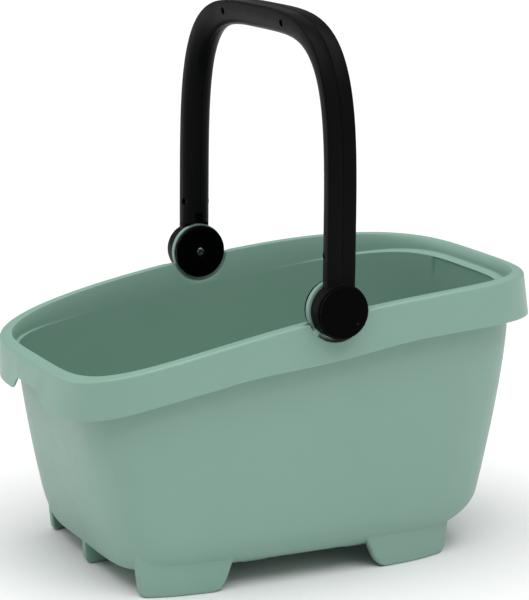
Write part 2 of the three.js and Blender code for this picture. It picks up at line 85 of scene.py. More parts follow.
HIGH_END_THICKENING = 5.5          # the wall at the high end gets thicker towards its ledge
THICKENING_HEIGHTS = (60, 230)
BODY_BOW = 1.4                     # 1 is a straight wall from the top to the foot
TOP_DRAFT = 0.15                   # how much of the wall's slope goes on above BODY_TOP_Z
STRAIGHT_WALL_TOP = 150            # rings of the wall are level up to here
UNDERSIDE = 20
BOTTOM_ROUND = {"height": 30, "low_end": 1.5, "high_end": 37, "side": 22}
FLOOR_WALL = 2.8

# Feet seen from the side: ends at the root and on the floor, and the two corner rounds.
FOOT_ROOT = 46
FOOT_THICKNESS = 10
LOW_FEET = {"root": (-173, -80), "floor": (-168, -97), "round": (6, 12)}
HIGH_FEET = {"root": (33, 140), "floor": (53.5, 129.5), "round": (11, 9)}
END_RIB = {"root": (-180, -100), "floor": (-176.5, -112), "round": (8, 8)}
END_RIB_WIDTH = 7
PAD_PLACES = (-59, 40)
PAD_SIZE = (26, 14, 2.5)           # length, width and depth
PAD_ROW = 99                       # from the middle line

# The pivot and the stack of pieces on it, as distances from the middle of the basket.
PIVOT_X = -2.2
PIVOT_Z = 244
HANDLE_LEAN = math.radians(0.6)
SWING_LIMITS = (-85, 70)           # degrees from upright, towards the high end
SWING_ROOM = 0.7                   # kept free beside a leg at the end of its swing
LEG_SPACE_REACH = (24.6, 40)       # the part of a leg that needs it, from the pivot
HUB_RADIUS = 23.8
CAP_RADIUS = 22.7
GATE_MARK = (12.5, -10.5)          # from the cap's middle
GATE_MARK_RADIUS = 0.9
GATE_MARK_DEPTH = 0.35
CLEARANCE = 0.3                    # between neighbours in the stack
DISC_RADIUS = 24.6
EAR_RADIUS = 25.6
EAR_IN = 140.2
EAR_OUT = 144.6
DISC_FACE = 135
KNUCKLE_IN = 145.6
KNUCKLE_OUT = 159.5
CAP_FACE = 162.8
POCKET_RADIUS = 28
COLLAR_RADIUS = 30.6
GROOVE_DEPTH = 3.4                 # a groove round the lug, at the bottom of the pocket
STOP_RADII = (24.6, 29)            # a small block in the pocket, and the angles that it fills
STOP_DEGREES = (216, 226)
STOP_HEIGHT = 6
RECESS_RADIUS = 25.4
RECESS_LIP = (29.6, 136.2)         # the recess round the disc: radius and place of its lip
ROOM_RADIUS = 28.4                 # round space in a leg for the disc and the lug
BUSH_RADIUS = 5.4
SCREW_RADIUS = 2.2

# Bores for the threaded insert, the screw's end and the cap's boss, as radius, start and end.
KNUCKLE_BORES = ((4.3, 130, KNUCKLE_IN + 10.3), (SCREW_RADIUS + CLEARANCE, 130, 153),
                 (7.3, KNUCKLE_OUT - 2.3, 170))

# The handle.
HALF_SPAN = 156.6                  # to the flat outer face of each leg
HANDLE_TOP = 490
ARCH_START = 296.7                 # the legs are straight below this height
ARCH_SQUARENESS = 3.65
LEG_JOINT = 271                    # where the handle meets the castings
GRIP_HALF_WIDTH = 13.3
GRIP_DEPTH = 20
GRIP_TOP_DEPTH = 22.3              # the grip is a little deeper over the top
GRIP_WALL = 2.6
GRIP_ROUND = 1.9                   # at the edges of the outer face
GRIP_FLANK = 6.5                   # the flanks are straight to this depth and bend together beyond it
GRIP_TOP_HEIGHTS = (420, 480)      # between these the grip gets deeper
HANDLE_SCREW_DEPTH = 10            # under the outer face
TOP_SCREW_OFFSET = 60              # from the middle line
LEG_SCREW_HEIGHT = 291
HANDLE_SCREW = {"head": 3, "shank": 1.6, "head_face": -11, "head_seat": -9, "end": 10}
BOSS_RADIUS = 4.6
BOSS_FOOT = 11.2                   # from the middle of the handle
TONGUE_HALF_WIDTH = 5.4
TONGUE_HALF_DEPTH = 4.8
TONGUE_LENGTH = 28
LEG_NOTCH = {"top": 280.5, "half_width": 4.7, "depth": 3.4, "offset": -1.5}
SPLIT = 0.15                       # half the gap between two pieces that touch

THINNEST = 0.02                    # radius of a turned piece's first and last ring
AROUND = 480                       # points around the basket
TURN = 96                          # points around a hub piece


# ---------------------------------------------------------------- meshes


def mesh_object(name, points, faces):
    """An object from points in millimetres."""
    mesh = bpy.data.meshes.new(name)
    mesh.from_pydata((np.asarray(points, float) * MM).tolist(), [], faces)
    mesh.validate()
    piece = bpy.data.objects.new(name, mesh)
    bpy.context.scene.collection.objects.link(piece)
    return piece


def loft(name, rings):
    """A closed skin through rings of points, filled at its two ends, with its faces turned outwards."""
    count = len(rings[0])
    points = np.concatenate(rings)
    faces = []
    for r in range(len(rings) - 1):
        for i in range(count):
            j = (i + 1) % count
            faces.append((r * count + i, r * count + j, (r + 1) * count + j, (r + 1) * count + i))
    last = (len(rings) - 1) * count
    faces.append(tuple(reversed(range(count))))
    faces.append(tuple(range(last, last + count)))
    return outwards(mesh_object(name, points, faces))


def outwards(piece):
    """Turns every face of a closed piece outwards."""
    work = bmesh.new()
    work.from_mesh(piece.data)
    bmesh.ops.recalc_face_normals(work, faces=work.faces)
    work.to_mesh(piece.data)
    work.free()
    return piece


def round_line(radius, count):
    """Points of a circle."""
    turn = np.arange(count) * 2 * np.pi / count
    return np.column_stack([radius * np.cos(turn), radius * np.sin(turn)])


def turned(name, profile, side=1, points_around=TURN):
    """A round piece about the pivot's line from (radius, y) pairs that start and end on that line.

    side is 1 for the far hub and -1 for the near one, its mirror image."""
    rings = []
    for radius, y in profile:
        x, z = round_line(max(radius, THINNEST), points_around).T
        rings.append(np.column_stack([PIVOT_X + x, np.full(points_around, side * y), PIVOT_Z + z]))
    return loft(name, rings)


def rounded(profile, radius, steps=5):
    """A profile whose inner corners are replaced by small curves."""
    points = [np.array(p, float) for p in profile]
    result = [points[0]]
    for before, at, after in zip(points, points[1:], points[2:]):
        result.extend(corner(before, at, after, radius, steps))
    result.append(points[-1])
    return result


def corner(before, at, after, radius, steps):
    """Points of a curve that rounds off one corner. Each argument may be a whole ring of points."""
    reach_in = np.linalg.norm(before - at, axis=-1, keepdims=True)
    reach_out = np.linalg.norm(after - at, axis=-1, keepdims=True)
    start = at + (before - at) * np.minimum(radius / np.maximum(reach_in, 1e-6), 0.45)
    end = at + (after - at) * np.minimum(radius / np.maximum(reach_out, 1e-6), 0.45)
    shares = np.linspace(0, 1, steps + 1)
    return [(1 - t) ** 2 * start + 2 * t * (1 - t) * at + t ** 2 * end for t in shares]


def combine(piece, other, operation):
    """Joins, cuts or intersects a piece with another, which is used up."""
    modifier = piece.modifiers.new("combine", "BOOLEAN")
    modifier.operation = operation
    modifier.solver = "MANIFOLD"
    modifier.object = other
    bpy.context.view_layer.objects.active = piece
    bpy.ops.object.modifier_apply(modifier=modifier.name)
    bpy.data.objects.remove(other)
    return piece


def gather(pieces):
    """Several pieces that don't touch, as one object."""
    work = bmesh.new()
    for piece in pieces:
        work.from_mesh(piece.data)
    work.to_mesh(pieces[0].data)
    work.free()
    for piece in pieces[1:]:
        bpy.data.objects.remove(piece)
    return pieces[0]


def join(piece, other):
    """Adds another piece to a piece."""
    return combine(piece, other, "UNION")


def cut(piece, other):
    """Cuts another piece out of a piece."""
    return combine(piece, other, "DIFFERENCE")


def shared(piece, other):
    """Keeps what a piece has in common with another."""
    return combine(piece, other, "INTERSECT")


def smooth(piece, degrees=32):
    """Smooth shading with crisp edges where faces meet at more than an angle."""
    piece.data.shade_smooth()
    piece.data.set_sharp_from_angle(angle=math.radians(degrees))
    return piece


def lean(piece):
    """Tips a piece of the handle about the pivot by the handle's lean."""
    pivot = Vector((PIVOT_X * MM, 0, PIVOT_Z * MM))
    turn = Matrix.Translation(pivot) @ Matrix.Rotation(HANDLE_LEAN, 4, "Y") @ Matrix.Translation(-pivot)
    piece.data.transform(turn)
    return piece


def place(piece, body, node, slot, material):
    """Finishes a piece: its body, the CAD node that it stands for and its material."""
    piece.data.materials.clear()
    piece.data.materials.append(material)
    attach(piece, body)
    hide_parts(node)
    return piece


# ---------------------------------------------------------------- basket surfaces


def mix(first, second, share):
    """An outline part way from one to another."""
    return Outline(*[a + (b - a) * share for a, b in zip(first, second)])


def grown(outline, amount):
    """An outline moved outwards, or inwards by a negative amount."""
    return Outline(*[size + amount for size in outline[:3]], outline.squareness)


def plan(outline, angles):
    """Points of an outline; angle 0 points at the high end."""
    c, s = np.cos(angles), np.sin(angles)
    power = np.where(c > 0, 2 / HIGH_END_SQUARENESS, 2 / outline.squareness)
    length = np.where(c > 0, outline.high_end, outline.low_end)
    return np.sign(c) * length * np.abs(c) ** power, np.sign(s) * outline.side * np.abs(s) ** power


def even_angles(outline, count):
    """Angles whose points are evenly spaced along an outline."""
    fine = np.linspace(0, 2 * np.pi, 40001)
    x, y = plan(outline, fine)
    length = np.concatenate([[0], np.cumsum(np.hypot(np.diff(x), np.diff(y)))])
    return np.interp(np.arange(count) * length[-1] / count, length, fine)


ANGLES = even_angles(RIM_OUTER, AROUND)


def ring(outline_at, height_at):
    """A ring round the basket. Its outline may depend on height, and the height on the place."""
    x, y = plan(outline_at(height_at(0 * ANGLES, 0 * ANGLES)), ANGLES)
    for _ in range(4):
        x, y = plan(outline_at(height_at(x, y)), ANGLES)
    return np.column_stack([x, y, height_at(x, y)])


def fixed_ring(outline, height_at):
    """A ring with the same outline at every height."""
    return ring(lambda z: outline, height_at)


def level(z):
    """The same height all round."""
    return lambda x, y: z + 0 * x


def lowered(height_at, amount):
    """A height moved down."""
    return lambda x, y: height_at(x, y) - amount


def rim_height(x, y=0):
    """The top of the rim at a place along the basket."""
    u = x / RIM_OUTER.low_end
    return RIM_CENTRE_HEIGHT + sum(factor * u ** power for power, factor in enumerate(RIM_CURVE, 1))


def ledge_height(x, y=0):
    """The ledge under the rim, which slopes up evenly to the high end."""
    return LEDGE_CENTRE_HEIGHT + LEDGE_SLOPE * x


def ease(value, low, high):
    """0 below low, 1 above high and an S curve between them."""
    t = np.clip((value - low) / (high - low), 0, 1)
    return t * t * (3 - 2 * t)


def skirt_foot(x, y):
    """The skirt's lower edge, which rises in the middle of the low end."""
    u = x / RIM_OUTER.low_end
    foot = rim_height(x) - SKIRT_DROP - SKIRT_DROP_SLOPE * u - SKIRT_DROP_CURVE * u ** 2
    foot -= HUB_DROP * (1 - ease(np.abs(x - PIVOT_X), *HUB_DROP_REACH))
    foot -= LOW_END_DROP * ease(-u, LOW_END_START, 1)
    notch = NOTCH_RISE * (1 - ease(np.abs(y), NOTCH_HALF_TOP, NOTCH_HALF_FOOT))
    corner_rise = CORNER_RISE * (1 - ease(np.abs(y), NOTCH_HALF_FOOT, CORNER_HALF_WIDTH))
    return foot + np.where(x < 0, notch + corner_rise, 0)


def tub_outside(z):
    """The tub's outer wall at a height."""
    drop = (BODY_TOP_Z - z) / (BODY_TOP_Z - BODY_FOOT_Z)
    draft = np.where(drop > 0, np.abs(drop) ** BODY_BOW, drop * TOP_DRAFT)
    t = np.clip((BODY_FOOT_Z - z) / BOTTOM_ROUND["height"], 0, 1)
    pull = 1 - np.sqrt(1 - t * t)
    size = mix(BODY_TOP, BODY_FOOT, draft)
    return Outline(
        size.low_end - pull * BOTTOM_ROUND["low_end"],
        size.high_end - pull * BOTTOM_ROUND["high_end"],
        size.side - pull * BOTTOM_ROUND["side"],
        size.squareness,
    )


def tub_inside(z):
    """The tub's inner wall at a height: the high end is thicker near its ledge."""
    outer = grown(tub_outside(np.maximum(z - FLOOR_WALL, UNDERSIDE)), -WALL)
    return outer._replace(high_end=outer.high_end - HIGH_END_THICKENING * ease(z, *THICKENING_HEIGHTS))


def shrunk(outline, share):
    """An outline scaled about the middle of the basket."""
    return Outline(*[size * share for size in outline[:3]], outline.squareness)


def between(top_at, share):
    """A height part way from the level wall up to a sloping line."""
    return lambda x, y: STRAIGHT_WALL_TOP + share * (top_at(x, y) - STRAIGHT_WALL_TOP)


# Where the rings of the tub's skin lie: shares of the floor's size, heights, and shares of the wall's top.
FLOOR_SHARES = (0.12, 0.35, 0.6, 0.8, 0.92)
ROUND_TURNS = np.linspace(0, math.pi / 2, 12)
ROUND_HEIGHTS = [UNDERSIDE + BOTTOM_ROUND["height"] * (1 - math.cos(turn)) for turn in ROUND_TURNS]
WALL_HEIGHTS = list(np.linspace(BODY_FOOT_Z, STRAIGHT_WALL_TOP, 11))[1:]
WALL_SHARES = (0.25, 0.5, 0.75)


def outer_wall_rings():
    """The outside of the tub from the middle of its underside up to the ledge."""
    base = tub_outside(np.float64(UNDERSIDE))
    rings = [fixed_ring(shrunk(base, share), level(UNDERSIDE)) for share in FLOOR_SHARES]
    rings += [ring(tub_outside, level(z)) for z in ROUND_HEIGHTS + WALL_HEIGHTS]
    return rings + [ring(tub_outside, between(ledge_height, share)) for share in WALL_SHARES + (1,)]


def with_panel(points):
    """Sinks the panel at the high end into a ring of the inner wall; it fades out lower down."""
    x, y, z = points.T
    inside = 1 - ease(np.abs(y), PANEL_HALF_WIDTH - PANEL_EDGE, PANEL_HALF_WIDTH)
    share = (x > 0) * inside * ease(z, *PANEL_FADE)
    return np.column_stack([x + PANEL_DEPTH * share, y, z])


def inner_wall_rings():
    """The inside of the tub from the ledge down to the middle of its floor."""
    top = UNDERSIDE + FLOOR_WALL
    base = tub_inside(np.float64(top))
    rings = [with_panel(ring(tub_inside, lowered(ledge_height, PANEL_DEPTH + 0.4)))]
    rings += [with_panel(ring(tub_inside, between(ledge_height, share))) for share in reversed(WALL_SHARES)]
    rings += [with_panel(ring(tub_inside, level(z))) for z in reversed(WALL_HEIGHTS)]
    rings += [ring(tub_inside, level(z + FLOOR_WALL)) for z in reversed(ROUND_HEIGHTS)]
    return rings + [fixed_ring(shrunk(base, share), level(top)) for share in reversed(FLOOR_SHARES)]


def bent_line(stations):
    """Rings along a line of stations (ring, corner radius, rings before the next station)."""
    groups = []
    for i, (at, radius, _) in enumerate(stations):
        if radius and 0 < i < len(stations) - 1:
            groups.append(corner(stations[i - 1][0], at, stations[i + 1][0], radius, 6))
        else:
            groups.append([at])
    rings = []
    for (_, _, extra), group, following in zip(stations, groups, groups[1:] + [None]):
        rings += group
        if following:
            shares = np.linspace(0, 1, extra + 2)[1:-1]
            rings += [group[-1] + (following[0] - group[-1]) * share for share in shares]
    return rings


def above_ledge(share):
    """A ring part way up from the ledge to the rim. Along the sides it starts level with the wall."""
    straight, power = RIM_FLARE
    flare = straight * share + (1 - straight) * share ** power

    def outline_at(z):
        ledge = Outline(LEDGE_REACH, LEDGE_REACH, tub_inside(z).side, RIM_INNER.squareness)
        return mix(ledge, RIM_INNER, flare)

    def height_at(x, y):
        return (ledge_height(x) + LEDGE_FALL) * (1 - share) + rim_height(x) * share

    return ring(outline_at, height_at)


def rim_and_skirt_rings():
    """From the tub's outer wall under the rim, round the skirt and over the rim, to the ledge inside."""
    under_rim = lowered(rim_height, RIM_THICKNESS)
    return bent_line([
        (ring(tub_outside, ledge_height), 0, 2),
        (fixed_ring(grown(RIM_INNER, WALL), under_rim), 1.2, 1),
        (fixed_ring(grown(RIM_OUTER, -SKIRT_WALL), under_rim), 1, 4),
        (fixed_ring(grown(SKIRT_EDGE, -SKIRT_WALL), skirt_foot), 1.1, 0),
        (fixed_ring(SKIRT_EDGE, skirt_foot), 1.1, 6),
        (fixed_ring(RIM_OUTER, rim_height), RIM_ROUND, 2),
        (fixed_ring(RIM_INNER, rim_height), 0.5, 2),
        (above_ledge(0.88), 0, 0),
        (above_ledge(0.75), 0, 0),
        (above_ledge(0.5), 0, 0),
        (above_ledge(0.25), 0, 0),
        (above_ledge(0), 0.8, 1),
        (ring(tub_inside, ledge_height), 0.9, 0),
        (ring(tub_inside, lowered(ledge_height, PANEL_DEPTH)), 0, 0),
    ])


def tub_hollow(into_wall):
    """The space inside the tub, grown a little into its walls, up to just under the rim."""
    low = UNDERSIDE + FLOOR_WALL - into_wall
    heights = [low + z - UNDERSIDE for z in ROUND_HEIGHTS] + WALL_HEIGHTS
    return loft("hollow", [ring(lambda z: grown(tub_inside(z), into_wall), level(z)) for z in heights])


def rim_core(inset):
    """The space inside the skirt and under the rim, pulled in so that it stays inside the walls."""
    size = grown(SKIRT_EDGE, -inset)
    top = grown(RIM_OUTER, -inset)
    return loft("core", [
        fixed_ring(size, level(STRAIGHT_WALL_TOP)),
        fixed_ring(size, lambda x, y: rim_height(x) - SKIRT_DROP + 4),
        fixed_ring(top, lowered(rim_height, inset + 1.6)),
        fixed_ring(grown(top, -2), lowered(rim_height, inset)),
    ])


# ---------------------------------------------------------------- feet


def foot_ends(foot, z):
    """Where a foot starts and ends at a height, with its rounded lower corners."""
    ends = []
    for root, floor, radius, inward in zip(foot["root"], foot["floor"], foot["round"], (1, -1)):
        slope = (root - floor) / FOOT_ROOT
        if z >= radius:
            ends.append(floor + slope * z)
        else:
            t = 1 - math.sqrt(z / radius)
            ends.append(floor + (1 - t) ** 2 * slope * radius + t ** 2 * inward * radius)
    return ends


LONG_SIDE_SHARES = np.linspace(0, 1, 25)[1:-1]


def rounded_box_ring(start, end, half_width, radius, steps=6):
    """A rounded rectangle from start to end and half_width to each side, as (along, across) pairs."""
    radius = min(radius, half_width * 0.98, (end - start) * 0.49)
    points = []
    for along, across, first in (
        (end - radius, half_width - radius, 0), (start + radius, half_width - radius, 90),
        (start + radius, radius - half_width, 180), (end - radius, radius - half_width, 270),
    ):
        for turn in np.radians(np.linspace(first, first + 90, steps + 1)):
            points.append((along + radius * math.cos(turn), across + radius * math.sin(turn)))
    result = []
    for at, following in zip(points, points[1:] + points[:1]):
        result.append(at)
        if abs(following[0] - at[0]) > 4 * radius:
            side = np.subtract(following, at)
            result += [tuple(np.array(at) + side * share) for share in LONG_SIDE_SHARES]
    return np.array(result)


def side_line(outline, x):
    """Distance of an outline from the middle line at a place along the basket."""
    power = np.where(x > 0, HIGH_END_SQUARENESS, outline.squareness)
    length = np.where(x > 0, outline.high_end, outline.low_end)
    return outline.side * (1 - np.abs(x / length) ** power) ** (1 / power)


FOOT_LEVELS = (0, 0.25, 0.9, 1.9, 3.2, 5, 7.5, 10.5, 14, 20, 28, 37, FOOT_ROOT)
SOLE_ROUND = 1.9                   # height of the round at the bottom of a foot


def sole_inset(z, most):
    """How far a foot's faces stand in at a height, for the round at its bottom."""
    return most * (1 - math.sqrt(1 - max(0, 1 - z / SOLE_ROUND) ** 2))


def side_foot(foot, side):
    """A foot that follows the basket's side."""
    rings = []
    for z in FOOT_LEVELS:
        start, end = foot_ends(foot, z)
        outline = rounded_box_ring(start, end, FOOT_THICKNESS / 2 - sole_inset(z, 1.8), 3)
        y = side_line(FOOT_FACE, outline[:, 0]) - FOOT_THICKNESS / 2 + outline[:, 1]
        rings.append(np.column_stack([outline[:, 0], side * y, np.full(len(y), z)]))
    return loft("foot", rings)


def end_rib():
    """The upright rib under the low end, on the middle line."""
    rings = []
    for z in FOOT_LEVELS:
        start, end = foot_ends(END_RIB, z)
        outline = rounded_box_ring(start, end, END_RIB_WIDTH / 2 - sole_inset(z, 1.4), 1.6)
        rings.append(np.column_stack([outline, np.full(len(outline), z)]))
    return loft("rib", rings)


def pad(x, side):
    """A low pad under the floor, between the feet, with a small round at its lower edge."""
    length, width, depth = PAD_SIZE
    rings = []
    for height, inset in ((0, 0.8), (0.3, 0.3), (0.9, 0), (depth + 1.2, 0)):
        outline = rounded_box_ring(x - length / 2 + inset, x + length / 2 - inset, width / 2 - inset, 3)
        rings.append(np.column_stack([
            outline[:, 0],
            side * PAD_ROW + outline[:, 1],
            np.full(len(outline), UNDERSIDE - depth + height),
        ]))
    return loft("pad", rings)


# ---------------------------------------------------------------- basket


def on_both_sides(make):
    """The near and the far one of a piece that is made for a side, as one object."""
    return gather([make(-1), make(1)])


def add_hub_seats(shell):
    """The lugs and collars that carry the hubs, and the recess, pocket, bore and stop in each."""
    lip_radius, lip_face = RECESS_LIP
    outside = SKIRT_EDGE.side + 5
    collar = [(0, EAR_IN - 1), (COLLAR_RADIUS, EAR_IN - 1), (COLLAR_RADIUS, outside), (0, outside)]
    ear = [(0, EAR_IN - 1.5), (EAR_RADIUS, EAR_IN - 1.5), (EAR_RADIUS, EAR_OUT + 1.5), (0, EAR_OUT + 1.5)]
    recess = [(0, 120), (lip_radius + 1.5, 120), (lip_radius + 1.5, lip_face - 0.9),
              (lip_radius - 1.2, lip_face + 0.5), (RECESS_RADIUS + 2, EAR_IN - 1.1),
              (RECESS_RADIUS + 0.5, EAR_IN - 0.3), (RECESS_RADIUS - 0.6, EAR_IN), (0, EAR_IN)]
    groove = EAR_OUT - GROOVE_DEPTH
    pocket = [(0, EAR_OUT), (EAR_RADIUS + CLEARANCE, EAR_OUT), (EAR_RADIUS + CLEARANCE, groove),
              (POCKET_RADIUS, groove), (POCKET_RADIUS, outside), (0, outside)]
    bore = [(0, 130), (BUSH_RADIUS + CLEARANCE, 130), (BUSH_RADIUS + CLEARANCE, outside), (0, outside)]

    def pair(profile):
        return on_both_sides(lambda side: turned("seat", profile, side))

    join(shell, shared(pair(collar), rim_core(1.1)))
    cut(shell, gather([leg_space(side, degrees) for side in (-1, 1) for degrees in SWING_LIMITS]))
    join(shell, pair(ear))
    for profile in (recess, pocket, bore):
        cut(shell, pair(profile))
    join(shell, on_both_sides(stop_block))


def leg_space(side, degrees):
    """Where the root of a leg comes to rest at one end of its swing, with a little room."""
    turn = math.radians(degrees)
    along = np.array([math.sin(turn), math.cos(turn)])
    across = np.array([math.cos(turn), -math.sin(turn)]) * (GRIP_HALF_WIDTH + SWING_ROOM)
    start, end = (along * reach for reach in LEG_SPACE_REACH)
    corners = (start - across, end - across, end + across, start + across)
    rings = []
    for y in (EAR_OUT - 0.3, RIM_OUTER.side + 0.8):
        rings.append(np.array([(PIVOT_X + x, side * y, PIVOT_Z + z) for x, z in corners]))
    return loft("space", rings)


def stop_block(side):
    """The small block in a hub's pocket, low on the side towards the low end."""
    inner, outer = STOP_RADII
    first, last = STOP_DEGREES
    rings = []
    for height, inset in ((-1, 0), (STOP_HEIGHT - 0.6, 0), (STOP_HEIGHT, 0.5)):
        block = []
        places = ((inner + inset, first), (outer, first), (outer, last), (inner + inset, last))
        for radius, degrees in places:
            turn = math.radians(degrees)
            x = PIVOT_X + radius * math.cos(turn)
            z = PIVOT_Z + radius * math.sin(turn)
            block.append((x, side * (EAR_OUT + height), z))
        rings.append(np.array(block))
    return loft("stop", rings)


def basket_shell():
    """The green moulding: one skin round the tub, rim and skirt, then the feet, pads and hub seats."""
    rings = outer_wall_rings()[:-1] + rim_and_skirt_rings()[:-1] + inner_wall_rings()
    shell = loft("basket_moulding", rings)
    feet = [side_foot(foot, side) for foot in (LOW_FEET, HIGH_FEET) for side in (-1, 1)] + [end_rib()]
    join(shell, cut(gather(feet), tub_hollow(1.2)))
    join(shell, gather([pad(x, side) for x in PAD_PLACES for side in (-1, 1)]))
    add_hub_seats(shell)
    return smooth(shell)


# ---------------------------------------------------------------- hub pieces


def plain_bar(name, radius, start, end, side, points_around=TURN):
    """A straight round bar on the pivot's line."""
    return turned(name, [(0, start), (radius, start), (radius, end), (0, end)], side, points_around)


def inner_disc(side):
    """The glossy disc inside the basket, with a seat for the screw's head in its middle."""
    seat_radius, seat_face, back = 4.6, DISC_FACE + 1.7, EAR_IN - CLEARANCE
    profile = [(0, seat_face), (seat_radius, seat_face), (seat_radius, DISC_FACE + 0.25),
               (12, DISC_FACE + 0.05), (18, DISC_FACE), (DISC_RADIUS, DISC_FACE + 0.2),
               (DISC_RADIUS, back), (0, back)]
    bore = plain_bar("bore", SCREW_RADIUS + CLEARANCE, 120, 150, side)
    return smooth(cut(turned("disc", rounded(profile, 0.9), side), bore))


def hub_cap(side):
    """The glossy cap: a slightly domed face inside a rounded rim, and a boss behind it."""
    back, boss_radius, boss_end = KNUCKLE_OUT + CLEARANCE, 7, KNUCKLE_OUT - 2
    profile = [(0, boss_end), (boss_radius, boss_end), (boss_radius, back), (CAP_RADIUS, back),
               (CAP_RADIUS, CAP_FACE - 0.25), (CAP_RADIUS - 3.4, CAP_FACE - 0.05), (10, CAP_FACE),
               (0, CAP_FACE)]
    return smooth(cut(turned("cap", rounded(profile, 0.6, 4), side), gate_mark(side)))


def gate_mark(side):
    """The small round dimple that moulding leaves in a cap's face."""
    across, up = GATE_MARK
    circle = round_line(GATE_MARK_RADIUS, 24)
    rings = []
    for y in (CAP_FACE - GATE_MARK_DEPTH, CAP_FACE + 1):
        x, z = circle.T
        rings.append(np.column_stack([PIVOT_X + across + x, np.full(len(x), side * y), PIVOT_Z + up + z]))
    return loft("gate", rings)


def slot_ring(along, across, middle):
    """The four corners of a slot about its middle, from its two half sizes as vectors."""
    return np.array([along + across, across - along, -along - across, along - across]) + middle


def cross_cut(head, depth, reach, turn=0.4, half_width=0.42):
    """Two crossed slots about the pivot's line for a screw's head, from a face inwards along +Y."""
    slots = []
    for angle in (turn, turn + math.pi / 2):
        along = np.array([math.cos(angle), 0, math.sin(angle)]) * reach
        across = np.array([-math.sin(angle), 0, math.cos(angle)]) * half_width
        rings = []
        for y, share in ((head - 1, 1.1), (head, 1), (head + depth, 0.45)):
            rings.append(slot_ring(along * share, across, [PIVOT_X, y, PIVOT_Z]))
        slots.append(loft("slot", rings))
    return join(*slots)


def pivot_screw(side):
    """A round-headed screw with a cross recess; its head faces the inside of the basket."""
    head, head_radius, end = DISC_FACE + 1.2, 3.8, 152
    profile = rounded([(0, head - 1.6), (2.7, head - 1.5), (head_radius, head - 0.7),
                       (head_radius, head + 0.2), (SCREW_RADIUS, head + 0.2), (SCREW_RADIUS, end - 1),
                       (1.4, end), (0, end)], 0.4, 3)
    piece = cut(turned("screw", profile, 1, 48), cross_cut(head - 1.65, 1.3, 2.1))
    if side < 0:
        half_turn = Matrix.Rotation(math.pi, 4, "Z")
        centre = Matrix.Translation((PIVOT_X * MM, 0, 0))
        piece.data.transform(centre @ half_turn @ centre.inverted())
    return smooth(piece)


def grip_section(depth, wall=0.0):
    """Half of the handle's section from the middle of its outer face to the middle of its inner one,
    as (across, outwards) pairs. A wall moves it inwards."""
    half = GRIP_HALF_WIDTH - wall
    points = [(SPLIT, -wall)]
    if not wall:
        points = [(SPLIT, -0.55), (SPLIT + 0.16, -0.16), (SPLIT + 0.55, 0)]
    points += [(half - 5, -wall), (half - GRIP_ROUND, -wall)]
    for turn in np.radians(np.linspace(75, 0, 5)):
        across = half - GRIP_ROUND + GRIP_ROUND * math.cos(turn)
        points.append((across, -wall - GRIP_ROUND + GRIP_ROUND * math.sin(turn)))
    bend = depth - GRIP_FLANK - wall
    for turn in np.radians(np.linspace(0, 86, 16)):
        points.append((half * math.cos(turn), -GRIP_FLANK - bend * math.sin(turn)))
    if wall:
        points.append((SPLIT, wall - depth))
    else:
        points += [(SPLIT + 0.5, -depth), (SPLIT + 0.16, 0.16 - depth), (SPLIT, 0.5 - depth)]
    return points


def arch_line(count):
    """Places and outward directions along the handle's outer face, from the near leg to the far one."""
    rise = HANDLE_TOP - ARCH_START
    turn = np.linspace(math.pi, 0, 4001)
    power = 2 / ARCH_SQUARENESS
    c, s = np.cos(turn), np.maximum(np.sin(turn), 0)
    arch = np.column_stack([np.sign(c) * HALF_SPAN * np.abs(c) ** power, ARCH_START + rise * s ** power])
    start = LEG_JOINT + SPLIT
    line = np.concatenate([[(-HALF_SPAN, start)], arch, [(HALF_SPAN, start)]])
    length = np.concatenate([[0], np.cumsum(np.hypot(*np.diff(line, axis=0).T))])
    at = np.linspace(0, length[-1], count)
    places = np.column_stack([np.interp(at, length, line[:, 0]), np.interp(at, length, line[:, 1])])
    ahead = np.gradient(places, axis=0)
    ahead /= np.linalg.norm(ahead, axis=1, keepdims=True)
    return places, np.column_stack([-ahead[:, 1], ahead[:, 0]])


def swept(name, section_at, side, steps=150):
    """A handle half: a section carried along the arch. side -1 is the front half."""
    places, outward = arch_line(steps)
    rings = []
    for (y, z), (out_y, out_z) in zip(places, outward):
        top = ease(z, *GRIP_TOP_HEIGHTS)
        section = np.array(section_at(GRIP_DEPTH + (GRIP_TOP_DEPTH - GRIP_DEPTH) * top))
        across, out = section[:, 0], section[:, 1]
        rings.append(np.column_stack([PIVOT_X + side * across, y + out_y * out, z + out_z * out]))
    return loft(name, rings)


def along_x(name, profile, y, z, points_around=32):
    """A round piece along X from (radius, x) pairs, measured from the middle of the handle."""
    rings = []
    for radius, x in profile:
        circle = round_line(max(radius, THINNEST), points_around)
        rings.append(np.column_stack([np.full(points_around, PIVOT_X + x), circle + [y, z]]))
    return loft(name, rings)


def bar_across(y, z, radius, start, end, points_around=32):
    """A round bar along X, measured from the middle of the handle."""
    return along_x("bar", [(radius, start), (radius, end)], y, z, points_around)


def handle_screw_places():
    """Names and places (y, z) of the screws, and how far their bosses stay from the middle.

    The bosses in the legs leave room for the tongues."""
    share = 1 - (TOP_SCREW_OFFSET / HALF_SPAN) ** ARCH_SQUARENESS
    top = ARCH_START + (HANDLE_TOP - ARCH_START) * share ** (1 / ARCH_SQUARENESS) - HANDLE_SCREW_DEPTH
    leg = HALF_SPAN - HANDLE_SCREW_DEPTH
    return [
        ("handle_screw_top_near", -TOP_SCREW_OFFSET, top, SPLIT),
        ("handle_screw_top_far", TOP_SCREW_OFFSET, top, SPLIT),
        ("handle_screw_leg_near", -leg, LEG_SCREW_HEIGHT, TONGUE_HALF_WIDTH + CLEARANCE),
        ("handle_screw_leg_far", leg, LEG_SCREW_HEIGHT, TONGUE_HALF_WIDTH + CLEARANCE),
    ]


